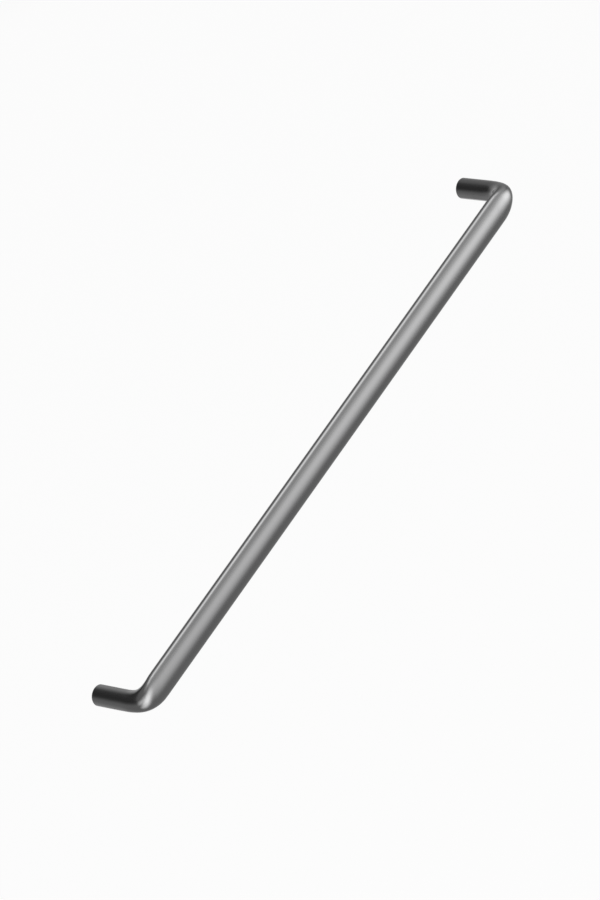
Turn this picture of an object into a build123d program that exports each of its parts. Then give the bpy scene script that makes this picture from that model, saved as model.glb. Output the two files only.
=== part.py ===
from build123d import *
import math
import os

# Cabinet handle: an oval bar whose two ends turn back into round feet. One cast piece, millimetres.
# Origin on the mounting face midway between the screws, +X along the bar, +Y into the cabinet, +Z up.

# Driving sizes
hole_spacing = 320.0
foot_diameter = 10.0
foot_edge_round = 0.5
projection = 32.0
bar_width = 15.6
bar_thickness = 6.2

# Bends: how far the soft outer corner reaches along foot and bar, how square it is, and the inner round.
# Each bend is one smooth face, and its seam runs along the inner side, where its sections start.
outer_reach = 22.0
outer_power = 4.9
inner_radius = 4.5
widen_from_deg = 32.0
widen_to_deg = 73.0
stations = 19
inner_side_deg = 180.0

# Screw holes: M4, cut to the thread's full width, with the drilled end below it.
# Each cutter starts a little past the mouth.
thread_diameter = 4.0
thread_depth = 12.0
drill_diameter = 3.3
drill_depth = 14.0
drill_tip_deg = 118.0
mouth_chamfer = 0.3
past_mouth = 1.0

foot_radius = foot_diameter / 2
half_spacing = hole_spacing / 2
foot_straight = projection - outer_reach
bar_half_length = half_spacing + foot_radius - outer_reach


def soft_step(share):
    share = min(max(share, 0.0), 1.0)
    return share * share * (3.0 - 2.0 * share)


def outer_distance(angle):
    """From the outer corner's centre to the soft outer corner."""
    square = math.cos(angle) ** outer_power + math.sin(angle) ** outer_power
    return outer_reach / square ** (1.0 / outer_power)


def inner_distance(angle):
    """From the same centre to the inner outline: foot side, plain round, or back of the bar."""
    along_x, along_y = math.cos(angle), math.sin(angle)
    to_foot = outer_reach - foot_diameter
    to_back = outer_reach - bar_thickness
    reach_foot = to_foot / along_x if along_x > 1e-9 else math.inf
    reach_back = to_back / along_y if along_y > 1e-9 else math.inf
    reach = min(reach_foot, reach_back)
    round_x, round_y = to_foot - inner_radius, to_back - inner_radius
    if reach * along_x > round_x and reach * along_y > round_y:
        middle = along_x * round_x + along_y * round_y
        offset = round_x ** 2 + round_y ** 2 - middle ** 2
        reach = middle + math.sqrt(max(inner_radius ** 2 - offset, 0.0))
    return reach


def bend_section(angle):
    """Oval outline of the right-hand bend, on a plane that fans about the outer corner's centre."""
    outer, inner = outer_distance(angle), inner_distance(angle)
    middle, half_depth = (outer + inner) / 2, (outer - inner) / 2
    across = Vector(math.cos(angle), -math.sin(angle), 0)
    facing = Vector(math.sin(angle), math.cos(angle), 0)
    centre = Vector(bar_half_length, -foot_straight, 0) + across * middle
    share = (math.degrees(angle) - widen_from_deg) / (widen_to_deg - widen_from_deg)
    half_width = foot_radius + (bar_width / 2 - foot_radius) * soft_step(share)
    plane = Plane(origin=centre, x_dir=across, z_dir=facing)
    oval = EllipticalCenterArc((0, 0), half_depth, half_width, inner_side_deg, arc_size=360)
    return Wire((plane * oval).edges())


def screw_hole():
    """Cutter for one blind hole along -Y from the origin, slightly past the mouth."""
    tip = drill_diameter / 2 / math.tan(math.radians(drill_tip_deg / 2))
    outline = Polyline(
        (0, past_mouth),
        (thread_diameter / 2 + mouth_chamfer + past_mouth, past_mouth),
        (thread_diameter / 2, -mouth_chamfer),
        (thread_diameter / 2, -thread_depth),
        (drill_diameter / 2, -thread_depth - (thread_diameter - drill_diameter) / 2),
        (drill_diameter / 2, -drill_depth),
        (0, -drill_depth - tip),
        close=True,
    )
    return revolve(make_face(outline), axis=Axis.Y, revolution_arc=360)


# One foot with its rounded rim, from the mounting face to where the bend starts; its seam is underneath
foot_plane = Plane(origin=(half_spacing, 0, 0), x_dir=(0, 0, -1), z_dir=(0, -1, 0))
foot = extrude(foot_plane * Circle(foot_radius), foot_straight)
rim = foot.edges().group_by(Axis.Y)[-1]
foot = fillet(rim, foot_edge_round)

# One bend, lofted through the fan of ovals
bend = Solid.make_loft([bend_section(math.radians(90.0 * k / (stations - 1))) for k in range(stations)])

end = foot + bend - Pos(half_spacing, 0, 0) * screw_hole()

# The straight bar, its seam underneath too, and both ends
bar_start = (-bar_half_length, bar_thickness / 2 - projection, 0)
bar_plane = Plane(origin=bar_start, x_dir=(0, -1, 0), z_dir=(1, 0, 0))
bar = extrude(bar_plane * Ellipse(bar_thickness / 2, bar_width / 2), 2 * bar_half_length)
handle = bar + end + mirror(end, about=Plane.YZ)

handle = handle.solid()
handle.label = "handle"

os.makedirs("parts", exist_ok=True)
export_step(handle, "parts/handle.step")
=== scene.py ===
import math

import bmesh
import bpy
from mathutils import Matrix, Quaternion, Vector


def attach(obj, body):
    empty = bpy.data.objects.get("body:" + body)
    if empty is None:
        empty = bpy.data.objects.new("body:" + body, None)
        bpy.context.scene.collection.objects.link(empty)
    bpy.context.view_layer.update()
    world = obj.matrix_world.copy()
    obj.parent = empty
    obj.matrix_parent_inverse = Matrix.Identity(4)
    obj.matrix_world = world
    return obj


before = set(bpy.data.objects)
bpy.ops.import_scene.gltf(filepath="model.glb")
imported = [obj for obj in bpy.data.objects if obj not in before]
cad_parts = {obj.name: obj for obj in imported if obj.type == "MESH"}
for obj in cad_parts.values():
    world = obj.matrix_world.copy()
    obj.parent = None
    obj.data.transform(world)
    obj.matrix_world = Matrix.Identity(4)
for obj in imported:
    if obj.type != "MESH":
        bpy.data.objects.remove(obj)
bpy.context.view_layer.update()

# Camera, from the photograph's viewing angle, in metres and degrees
CAMERA_AIM = Vector((-0.0018, -0.0055, -0.0077))
CAMERA_DISTANCE = 2.532
CAMERA_AZIMUTH = -33.23
CAMERA_ELEVATION = 36.07
CAMERA_ROLL = -33.39
CAMERA_LENS = 220.07
CAMERA_SENSOR = 36.0
CAMERA_REACH = 400.0

# Satin plating: a dark neutral grey metal, its gloss, and the size of its fine grain
PLATING_DARK = (0.175, 0.175, 0.176, 1)
PLATING_LIGHT = (0.185, 0.185, 0.186, 1)
SATIN_SMOOTH = 0.185
SATIN_ROUGH = 0.225
CLOUD_SCALE = 26.0
CLOUD_DETAIL = 3.0
GRAIN_SCALE = 3200.0
GRAIN_DETAIL = 2.0
GRAIN_HEIGHT = 2.0e-6
GRAIN_IN_GLOSS = 0.4
GLOSS_SPREAD = (0.3, 0.7)
WAVE_SCALE = 150.0
WAVE_DETAIL = 1.0
WAVE_HEIGHT = 4.0e-6

# Thread ridges of the M4 holes, one in each foot, in metres; their root lies just inside the metal
SCREW_X = 0.160
THREAD_ROOT = 0.00203
THREAD_CREST = 0.00163
THREAD_MIDDLE = (THREAD_ROOT + THREAD_CREST) / 2
THREAD_PITCH = 0.0007
THREAD_START = -0.00062
THREAD_TURNS = 16
THREAD_STEPS = 36
THREAD_FADE = 0.75
FLANK_BASE = 0.00030
FLANK_TOP = 0.00006
FLANK_CREASE = math.radians(25)

# Softboxes: their distance, and how brightness falls from the middle of the cloth to nothing at its edges.
# The middle of u(1-u)v(1-v) is a sixteenth, so the gain makes it 1.
SOFTBOX_DISTANCE = 1.2
CLOTH_GAIN = 16.0
CLOTH_FALL = 2.0

# Room light: dim behind the handle, paler in front; the horizon behind it is as pale as the floor
ROOM_BRIGHT_SIDE = (20.0, 35.0)
ROOM_FADE = (-0.15, 0.25)
ROOM_DIM = 0.10
ROOM_BRIGHT = 0.35
HORIZON_BRIGHT = 0.40
HORIZON_HEIGHT = 0.55

# Floor, a cupboard front's height below the handle: pale grey, with a painted white pool of light behind the
# handle
FLOOR_DROP = 1.5
FLOOR_HALF_SIZE = 120.0
FLOOR_TONE = 0.52
PAINTED_POOL_TONE = 1.0
PAINTED_POOL_RADIUS = (0.9, 1.6)
FLOOR_GLOW = 0.94


def direction(azimuth, elevation):
    """Unit vector from the handle; azimuth 0 is the front, 90 is the bar's right-hand end."""
    turn, rise = math.radians(azimuth), math.radians(elevation)
    flat = math.cos(rise)
    return Vector((flat * math.sin(turn), -flat * math.cos(turn), math.sin(rise)))


def node(tree, kind, **settings):
    made = tree.nodes.new(kind)
    for name, value in settings.items():
        setattr(made, name, value)
    return made


def place_camera():
    data = bpy.data.cameras.new("camera")
    data.lens = CAMERA_LENS
    data.sensor_width = CAMERA_SENSOR
    data.clip_end = CAMERA_REACH
    camera = bpy.data.objects.new("camera", data)
    back = direction(CAMERA_AZIMUTH, CAMERA_ELEVATION)
    level = back.to_track_quat("Z", "Y")
    camera.rotation_mode = "QUATERNION"
    camera.rotation_quaternion = level @ Quaternion((0, 0, 1), math.radians(CAMERA_ROLL))
    camera.location = CAMERA_AIM + back * CAMERA_DISTANCE
    bpy.context.scene.collection.objects.link(camera)
    bpy.context.scene.camera = camera


def noise(tree, place, scale, detail):
    made = node(tree, "ShaderNodeTexNoise", noise_dimensions="3D")
    made.inputs["Scale"].default_value = scale
    made.inputs["Detail"].default_value = detail
    tree.links.new(place, made.inputs["Vector"])
    return made.outputs["Fac"]


def satin_plating():
    """Smooth dark plating on polished zinc: faint clouding in colour and gloss, and a very fine grain."""
    material = bpy.data.materials.new("satin_plating")
    material.use_nodes = True
    tree = material.node_tree
    shader = tree.nodes["Principled BSDF"]
    shader.inputs["Metallic"].default_value = 1.0
    place = node(tree, "ShaderNodeTexCoord").outputs["Object"]
    cloud = noise(tree, place, CLOUD_SCALE, CLOUD_DETAIL)
    grain = noise(tree, place, GRAIN_SCALE, GRAIN_DETAIL)
    wave = noise(tree, place, WAVE_SCALE, WAVE_DETAIL)

    tone = node(tree, "ShaderNodeMix", data_type="RGBA")
    tone.inputs["A"].default_value = PLATING_DARK
    tone.inputs["B"].default_value = PLATING_LIGHT
    tree.links.new(cloud, tone.inputs["Factor"])
    tree.links.new(tone.outputs["Result"], shader.inputs["Base Color"])

    mottle = node(tree, "ShaderNodeMix", data_type="FLOAT")
    mottle.inputs["Factor"].default_value = GRAIN_IN_GLOSS
    tree.links.new(cloud, mottle.inputs["A"])
    tree.links.new(grain, mottle.inputs["B"])
    gloss = node(tree, "ShaderNodeMapRange")
    gloss.inputs["From Min"].default_value = GLOSS_SPREAD[0]
    gloss.inputs["From Max"].default_value = GLOSS_SPREAD[1]
    gloss.inputs["To Min"].default_value = SATIN_SMOOTH
    gloss.inputs["To Max"].default_value = SATIN_ROUGH
    tree.links.new(mottle.outputs["Result"], gloss.inputs["Value"])
    tree.links.new(gloss.outputs["Result"], shader.inputs["Roughness"])

    ripple = node(tree, "ShaderNodeBump")
    ripple.inputs["Distance"].default_value = WAVE_HEIGHT
    tree.links.new(wave, ripple.inputs["Height"])
    pores = node(tree, "ShaderNodeBump")
    pores.inputs["Distance"].default_value = GRAIN_HEIGHT
    tree.links.new(grain, pores.inputs["Height"])
    tree.links.new(ripple.outputs["Normal"], pores.inputs["Normal"])
    tree.links.new(pores.outputs["Normal"], shader.inputs["Normal"])
    return material


def screw_thread(name, centre_x, material):
    """Right-hand ridge on the wall of one tapped hole, each end fading into the wall."""
    mesh = bmesh.new()
    flank = [
        (THREAD_ROOT, FLANK_BASE),
        (THREAD_CREST, FLANK_TOP),
        (THREAD_CREST, -FLANK_TOP),
        (THREAD_ROOT, -FLANK_BASE),
    ]
    corners = [mesh.verts.new((radius, THREAD_START + along, 0)) for radius, along in flank]
    edges = [mesh.edges.new(pair) for pair in zip(corners, corners[1:] + corners[:1])]
    climb = Vector((0, -THREAD_PITCH / THREAD_STEPS, 0))
    bmesh.ops.spin(
        mesh,
        geom=corners + edges,
        cent=(0, 0, 0),
        axis=(0, -1, 0),
        dvec=climb,
        angle=2 * math.pi * THREAD_TURNS,
        steps=THREAD_TURNS * THREAD_STEPS,
        use_duplicate=False,
    )
    ends = [edge for edge in mesh.edges if edge.is_boundary]
    bmesh.ops.holes_fill(mesh, edges=ends, sides=len(flank))
    bmesh.ops.recalc_face_normals(mesh, faces=mesh.faces)

    for face in mesh.faces:
        face.smooth = True
    for edge in mesh.edges:
        edge.smooth = edge.calc_face_angle() < FLANK_CREASE
    for vert in mesh.verts:
        radius = math.hypot(vert.co.x, vert.co.z)
        turns_in = (THREAD_START - vert.co.y) / THREAD_PITCH
        fade = min(turns_in, THREAD_TURNS - turns_in) / THREAD_FADE
        if radius < THREAD_MIDDLE and fade < 1:
            faded = THREAD_ROOT + (THREAD_CREST - THREAD_ROOT) * max(fade, 0)
            vert.co.x *= faded / radius
            vert.co.z *= faded / radius
    bmesh.ops.translate(mesh, verts=mesh.verts, vec=(centre_x, 0, 0))
    data = bpy.data.meshes.new(name)
    mesh.to_mesh(data)
    mesh.free()
    data.materials.append(material)
    ridge = bpy.data.objects.new(name, data)
    bpy.context.scene.collection.objects.link(ridge)
    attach(ridge, "root")


def soften_edges(data):
    """Bright in the middle of the cloth, fading to nothing at its four edges."""
    data.use_nodes = True
    tree = data.node_tree
    across = node(tree, "ShaderNodeNewGeometry").outputs["Parametric"]
    rest = node(tree, "ShaderNodeVectorMath", operation="SUBTRACT")
    rest.inputs[0].default_value = (1, 1, 1)
    tree.links.new(across, rest.inputs[1])
    dome = node(tree, "ShaderNodeVectorMath", operation="MULTIPLY")
    tree.links.new(across, dome.inputs[0])
    tree.links.new(rest.outputs["Vector"], dome.inputs[1])
    split = node(tree, "ShaderNodeSeparateXYZ")
    tree.links.new(dome.outputs["Vector"], split.inputs["Vector"])
    both = node(tree, "ShaderNodeMath", operation="MULTIPLY")
    tree.links.new(split.outputs["X"], both.inputs[0])
    tree.links.new(split.outputs["Y"], both.inputs[1])
    level = node(tree, "ShaderNodeMath", operation="MULTIPLY")
    level.inputs[1].default_value = CLOTH_GAIN
    tree.links.new(both.outputs["Value"], level.inputs[0])
    fall = node(tree, "ShaderNodeMath", operation="POWER")
    fall.inputs[1].default_value = CLOTH_FALL
    tree.links.new(level.outputs["Value"], fall.inputs[0])
    tree.links.new(fall.outputs["Value"], tree.nodes["Emission"].inputs["Strength"])


def hang_softbox(name, azimuth, elevation, turn, width, height, brightness):
    """One soft rectangular lamp that faces the handle."""
    data = bpy.data.lights.new(name, "AREA")
    data.shape = "RECTANGLE"
    data.size = 2 * SOFTBOX_DISTANCE * math.tan(math.radians(width / 2))
    data.size_y = 2 * SOFTBOX_DISTANCE * math.tan(math.radians(height / 2))
    data.energy = brightness * math.pi * data.size * data.size_y
    soften_edges(data)
    softbox = bpy.data.objects.new(name, data)
    outward = direction(azimuth, elevation)
    softbox.location = outward * SOFTBOX_DISTANCE
    upright = outward.to_track_quat("Z", "Y")
    softbox.rotation_mode = "QUATERNION"
    softbox.rotation_quaternion = upright @ Quaternion((0, 0, 1), math.radians(turn))
    softbox.visible_camera = False
    bpy.context.scene.collection.objects.link(softbox)


def hang_softboxes():
    """Soft lamps round the handle. Angles in degrees, width and height as the handle sees them."""
    hang_softbox("front_softbox", azimuth=-25, elevation=-20, turn=-55, width=60, height=100, brightness=3.0)
    hang_softbox("middle_softbox", azimuth=30, elevation=-19, turn=0, width=58, height=57, brightness=2.1)
    hang_softbox("right_softbox", azimuth=57, elevation=-18, turn=-20, width=50, height=45, brightness=3.6)
    hang_softbox("upper_softbox", azimuth=35, elevation=45, turn=-25, width=85, height=45, brightness=2.5)
    hang_softbox("left_softbox", azimuth=-35, elevation=0, turn=70, width=55, height=110, brightness=1.5)
    hang_softbox("back_softbox", azimuth=175, elevation=0, turn=50, width=70, height=120, brightness=0.75)
    hang_softbox("wide_fill", azimuth=40, elevation=40, turn=65, width=100, height=120, brightness=0.8)


def smooth_range(tree, value, start, end, low, high):
    made = node(tree, "ShaderNodeMapRange", interpolation_type="SMOOTHSTEP")
    made.inputs["From Min"].default_value = start
    made.inputs["From Max"].default_value = end
    made.inputs["To Min"].default_value = low
    made.inputs["To Max"].default_value = high
    tree.links.new(value, made.inputs["Value"])
    return made.outputs["Result"]


def light_room():
    world = bpy.data.worlds.new("room")
    world.use_nodes = True
    tree = world.node_tree
    look = node(tree, "ShaderNodeTexCoord").outputs["Generated"]
    facing = node(tree, "ShaderNodeVectorMath", operation="DOT_PRODUCT")
    facing.inputs[1].default_value = direction(*ROOM_BRIGHT_SIDE)
    tree.links.new(look, facing.inputs[0])
    front = smooth_range(tree, facing.outputs["Value"], *ROOM_FADE, ROOM_DIM, ROOM_DIM + ROOM_BRIGHT)
    split = node(tree, "ShaderNodeSeparateXYZ")
    tree.links.new(look, split.inputs["Vector"])
    horizon = smooth_range(tree, split.outputs["Z"], 0, HORIZON_HEIGHT, HORIZON_BRIGHT, 0)
    total = node(tree, "ShaderNodeMath", operation="ADD")
    tree.links.new(front, total.inputs[0])
    tree.links.new(horizon, total.inputs[1])
    backdrop = tree.nodes["Background"]
    backdrop.inputs["Color"].default_value = (1, 1, 1, 1)
    tree.links.new(total.outputs["Value"], backdrop.inputs["Strength"])
    bpy.context.scene.world = world


def floor_paint():
    """Matt pale floor with a painted white pool of light behind the handle: plain paper elsewhere, to the
    eye and in the metal, and it still takes a shadow.
    """
    material = bpy.data.materials.new("pale_floor")
    material.use_nodes = True
    tree = material.node_tree
    tree.nodes.remove(tree.nodes["Principled BSDF"])
    view = -direction(CAMERA_AZIMUTH, CAMERA_ELEVATION)
    painted_pool_centre = CAMERA_AIM + view * (FLOOR_DROP + CAMERA_AIM.z) / -view.z
    far = node(tree, "ShaderNodeVectorMath", operation="DISTANCE")
    far.inputs[1].default_value = painted_pool_centre
    tree.links.new(node(tree, "ShaderNodeTexCoord").outputs["Object"], far.inputs[0])
    # painted pool of light: the floor's colour is white round the spot behind the handle and fades to pale
    # grey further out
    tone = smooth_range(tree, far.outputs["Value"], *PAINTED_POOL_RADIUS, PAINTED_POOL_TONE, FLOOR_TONE)
    matt = node(tree, "ShaderNodeBsdfDiffuse")
    glow = node(tree, "ShaderNodeEmission")
    tree.links.new(tone, matt.inputs["Color"])
    tree.links.new(tone, glow.inputs["Color"])
    ray = node(tree, "ShaderNodeLightPath")
    seen = node(tree, "ShaderNodeMath", operation="MAXIMUM")
    tree.links.new(ray.outputs["Is Camera Ray"], seen.inputs[0])
    tree.links.new(ray.outputs["Is Glossy Ray"], seen.inputs[1])
    shown = node(tree, "ShaderNodeMath", operation="MAXIMUM")
    tree.links.new(seen.outputs["Value"], shown.inputs[0])
    tree.links.new(ray.outputs["Is Transmission Ray"], shown.inputs[1])
    share = node(tree, "ShaderNodeMath", operation="MULTIPLY")
    share.inputs[1].default_value = FLOOR_GLOW
    tree.links.new(shown.outputs["Value"], share.inputs[0])
    blend = node(tree, "ShaderNodeMixShader")
    tree.links.new(share.outputs["Value"], blend.inputs["Fac"])
    tree.links.new(matt.outputs["BSDF"], blend.inputs[1])
    tree.links.new(glow.outputs["Emission"], blend.inputs[2])
    tree.links.new(blend.outputs["Shader"], tree.nodes["Material Output"].inputs["Surface"])
    return material


def lay_floor():
    mesh = bmesh.new()
    bmesh.ops.create_grid(mesh, x_segments=1, y_segments=1, size=FLOOR_HALF_SIZE,
                          matrix=Matrix.Translation((0, 0, -FLOOR_DROP)))
    data = bpy.data.meshes.new("floor")
    mesh.to_mesh(data)
    mesh.free()
    data.materials.append(floor_paint())
    floor = bpy.data.objects.new("floor", data)
    bpy.context.scene.collection.objects.link(floor)


place_camera()
light_room()
lay_floor()
hang_softboxes()

plating = satin_plating()
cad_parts["handle"].material_slots[0].material = plating
screw_thread("thread_right", SCREW_X, plating)
screw_thread("thread_left", -SCREW_X, plating)

bpy.context.scene.view_settings.view_transform = "Standard"
